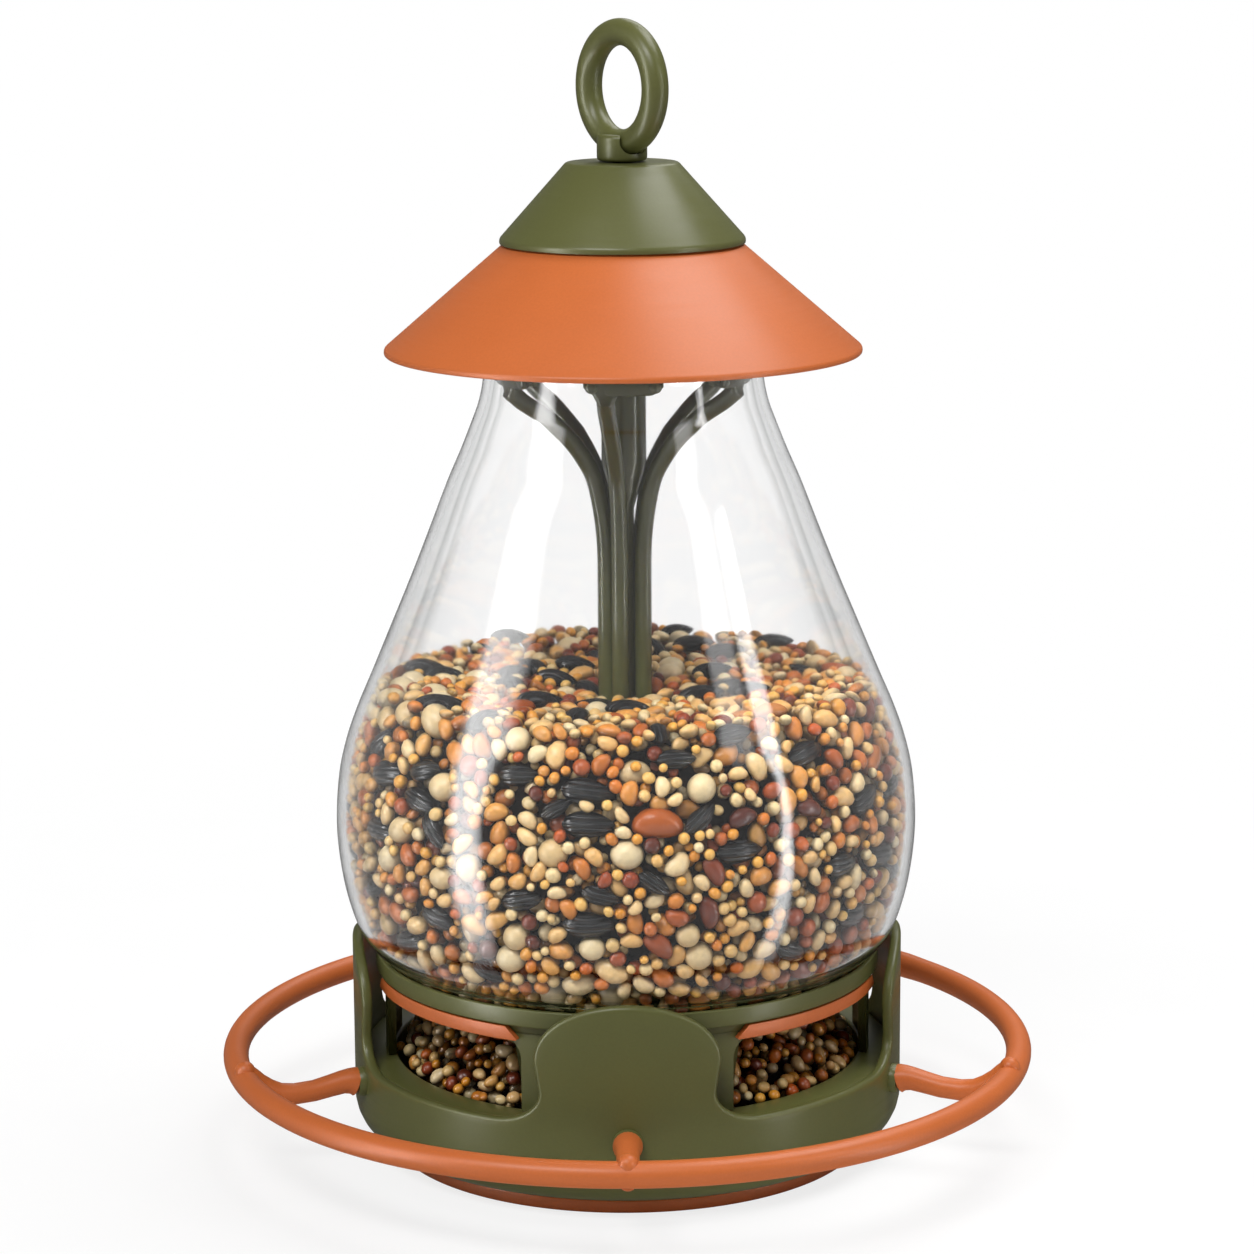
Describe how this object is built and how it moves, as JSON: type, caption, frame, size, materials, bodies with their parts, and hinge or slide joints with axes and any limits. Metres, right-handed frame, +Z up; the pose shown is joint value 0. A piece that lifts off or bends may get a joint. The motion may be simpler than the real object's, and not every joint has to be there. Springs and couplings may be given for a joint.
{
  "type": "hanging bird feeder",
  "caption": "Hanging bird feeder: clear flared seed hopper on a lobed tray with feeding ports, perch ring, cone roof and a screwed cap with a swivelling ring.",
  "frame": {"origin": "centre of the feeder's axis at the underside of the bottom plate, which is the bottom centre of the bounding box", "axes": "+Z up along the feeder's axis, -Y towards the lobe and perch spoke that face the viewer, +X to the viewer's right"},
  "size_m": [0.2, 0.1996, 0.275],
  "materials": {
    "olive_plastic": "satin moulded",
    "terracotta_plastic": "satin moulded",
    "clear_plastic": "clear polished",
    "zinc_steel": "zinc plated",
    "black_rubber": "matt",
    "mixed_seed": "dry seed"
  },
  "bodies": {
    "feeder": {"bottom_plate": "terracotta_plastic", "base_body": "olive_plastic", "hopper_seat": "olive_plastic", "port_hood_1": "terracotta_plastic", "port_hood_2": "terracotta_plastic", "port_hood_3": "terracotta_plastic", "port_hood_4": "terracotta_plastic", "hopper": "clear_plastic", "neck_ring": "olive_plastic", "arm_1": "olive_plastic", "arm_2": "olive_plastic", "arm_3": "olive_plastic", "arm_4": "olive_plastic", "arm_5": "olive_plastic", "arm_6": "olive_plastic", "rivet_1": "zinc_steel", "rivet_2": "zinc_steel", "rivet_3": "zinc_steel", "rivet_4": "zinc_steel", "rivet_5": "zinc_steel", "rivet_6": "zinc_steel", "rivet_7": "zinc_steel", "rivet_8": "zinc_steel", "rivet_9": "zinc_steel", "rivet_10": "zinc_steel", "rivet_11": "zinc_steel", "rivet_12": "zinc_steel", "stem_rod": "olive_plastic", "stem_washer": "zinc_steel", "stem_nut": "zinc_steel", "base_screw_1": "zinc_steel", "base_screw_2": "zinc_steel", "base_screw_3": "zinc_steel", "base_screw_4": "zinc_steel", "perch_ring": "terracotta_plastic", "perch_spoke_1": "terracotta_plastic", "perch_spoke_2": "terracotta_plastic", "perch_spoke_3": "terracotta_plastic", "perch_spoke_4": "terracotta_plastic", "perch_spoke_5": "terracotta_plastic", "seed_fill": "mixed_seed"},
    "roof": {"roof": "terracotta_plastic"},
    "gasket": {"cap_gasket": "black_rubber"},
    "cap": {"cap": "olive_plastic"},
    "swivel": {"swivel_boss": "olive_plastic", "swivel_washer": "zinc_steel", "swivel_nut": "zinc_steel"},
    "ring": {"hanging_ring": "olive_plastic"}
  },
  "joints": [
    {"name": "roof_lift", "type": "slide", "parent": "feeder", "child": "roof", "axis": [0, 0, 1], "range_m": [0, 0.06]},
    {"name": "cap_rise", "type": "slide", "parent": "roof", "child": "gasket", "axis": [0, 0, 1], "range_m": [0, 0.009]},
    {"name": "cap_turn", "type": "hinge", "parent": "gasket", "child": "cap", "pos_m": [0, 0, 0.23], "axis": [0, 0, 1], "range_deg": [0, 1080]},
    {"name": "hanger_swivel", "type": "hinge", "parent": "cap", "child": "swivel", "pos_m": [0, 0, 0.24], "axis": [0, 0, 1], "continuous": true},
    {"name": "ring_swing", "type": "hinge", "parent": "swivel", "child": "ring", "pos_m": [0, 0, 0.24577], "axis": [0.6018, -0.7986, 0], "range_deg": [-40, 40]}
  ],
  "couplings": [
    {"joint": "cap_rise", "follows": "cap_turn", "m_per_rad": 0.00047746}
  ]
}
